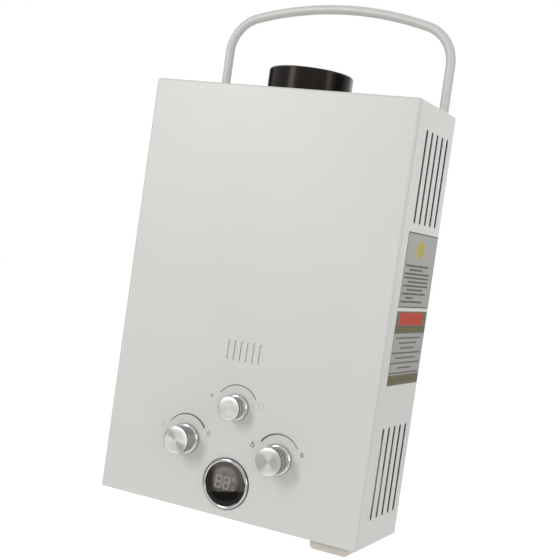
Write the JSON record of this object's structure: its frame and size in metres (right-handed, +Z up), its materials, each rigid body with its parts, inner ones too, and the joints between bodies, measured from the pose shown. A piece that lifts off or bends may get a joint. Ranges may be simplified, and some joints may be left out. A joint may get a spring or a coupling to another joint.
{
  "type": "gas water heater",
  "caption": "Wall-hung portable gas water heater with a folding tube handle, short round flue collar, three turn knobs and a round display.",
  "frame": {"origin": "middle of the four wall-screw holes, on the wall plane", "axes": "+Y into the wall along the wall screws, +Z up along the tall side of the case, +X to the right seen from the front"},
  "size_m": [0.29, 0.1423, 0.556],
  "materials": {
    "white_enamel": "satin powder coat, warm white",
    "black_enamel": "heat-proof black enamel, semi-gloss",
    "zinc_steel": "zinc plated",
    "stainless": "rolled stainless",
    "copper": "bare copper, slightly dulled",
    "brass": "turned brass",
    "cast_alloy": "die cast",
    "spun_aluminium": "spun face with a bright rim",
    "knob_grey": "matt grey",
    "chrome_trim": "bright chrome",
    "dark_lens": "dark gloss",
    "mica": "clear mica",
    "dark_plastic": "matt black",
    "cream_plastic": "satin cream",
    "cell_jacket": "printed steel jacket, plain",
    "white_ceramic": "glazed",
    "black_rubber": "matt"
  },
  "bodies": {
    "heater": {"back_plate": "white_enamel", "base_plate": "white_enamel", "batteries": "cell_jacket", "battery_box": "cream_plastic", "burner_bars": "stainless", "burner_electrodes": "white_ceramic", "burner_frame": "zinc_steel", "cold_inlet": "brass", "cold_pipe": "copper", "cover_screws": "zinc_steel", "diaphragm": "black_rubber", "display_bezel": "chrome_trim", "display_lens": "dark_lens", "display_module": "dark_plastic", "draught_hood": "zinc_steel", "exchanger_fins": "copper", "exchanger_shell": "copper", "exchanger_tubes": "copper", "flue_collar": "black_enamel", "front_cover": "white_enamel", "gas_inlet": "brass", "gas_jets": "brass", "gas_manifold": "stainless", "gas_riser": "copper", "gas_solenoid": "zinc_steel", "gas_valve_body": "cast_alloy", "handle_brackets": "white_enamel", "handle_pivots": "zinc_steel", "hanger_brackets": "white_enamel", "hanger_rivets": "zinc_steel", "hot_outlet": "brass", "hot_pipe": "copper", "igniter_box": "cream_plastic", "inlet_filter": "stainless", "knob_bezels": "chrome_trim", "microswitch": "dark_plastic", "pipe_nuts": "brass", "season_valve_body": "cast_alloy", "temperature_sensors": "stainless", "valve_spring": "zinc_steel", "viewing_window": "mica", "water_valve_body": "cast_alloy", "water_valve_cover": "cast_alloy", "wiring_leads": "dark_plastic"},
    "gas_control": {"gas_knob": "knob_grey", "gas_knob_face": "spun_aluminium", "gas_spindle": "zinc_steel"},
    "water_control": {"water_knob": "knob_grey", "water_knob_face": "spun_aluminium", "water_spindle": "zinc_steel"},
    "season_control": {"season_knob": "knob_grey", "season_knob_face": "spun_aluminium", "season_spindle": "zinc_steel"},
    "handle": {"carry_handle": "white_enamel"},
    "lid": {"battery_lid": "cream_plastic"},
    "flow_rod": {"push_rod": "zinc_steel"},
    "flow_lever": {"microswitch_lever": "dark_plastic"},
    "gas_plunger": {"solenoid_plunger": "zinc_steel"},
    "drain": {"drain_plug": "brass", "drain_seal": "black_rubber"}
  },
  "joints": [
    {"name": "gas_turn", "type": "hinge", "parent": "heater", "child": "gas_control", "pos_m": [-0.052, -0.122, -0.1464], "axis": [0, 1, 0], "range_deg": [-57, 57]},
    {"name": "water_turn", "type": "hinge", "parent": "heater", "child": "water_control", "pos_m": [0.052, -0.122, -0.1464], "axis": [0, 1, 0], "range_deg": [-57, 57]},
    {"name": "season_turn", "type": "hinge", "parent": "heater", "child": "season_control", "pos_m": [0, -0.122, -0.10465], "axis": [0, 1, 0], "range_deg": [-57, 57]},
    {"name": "handle_fold", "type": "hinge", "parent": "heater", "child": "handle", "pos_m": [0, -0.0057, 0.19], "axis": [-1, 0, 0], "range_deg": [0, 180]},
    {"name": "lid_open", "type": "hinge", "parent": "heater", "child": "lid", "pos_m": [0.1107, -0.0278, -0.222], "axis": [1, 0, 0], "range_deg": [0, 100]},
    {"name": "rod_push", "type": "slide", "parent": "heater", "child": "flow_rod", "axis": [-1, 0, 0], "range_m": [0, 0.004], "stiffness_N_per_m": 300, "deforming": ["valve_spring", "diaphragm"]},
    {"name": "lever_swing", "type": "hinge", "parent": "heater", "child": "flow_lever", "pos_m": [-0.0067, -0.06, -0.1304], "axis": [0, 1, 0], "range_deg": [0, 26.6]},
    {"name": "plunger_pull", "type": "slide", "parent": "heater", "child": "gas_plunger", "axis": [-1, 0, 0], "range_m": [0, 0.003]},
    {"name": "drain_turn", "type": "hinge", "parent": "heater", "child": "drain", "pos_m": [0.038, -0.06, -0.215], "axis": [0, 0, -1], "range_deg": [0, 90]}
  ],
  "couplings": [
    {"joint": "lever_swing", "follows": "rod_push", "rad_per_m": 115.6}
  ]
}
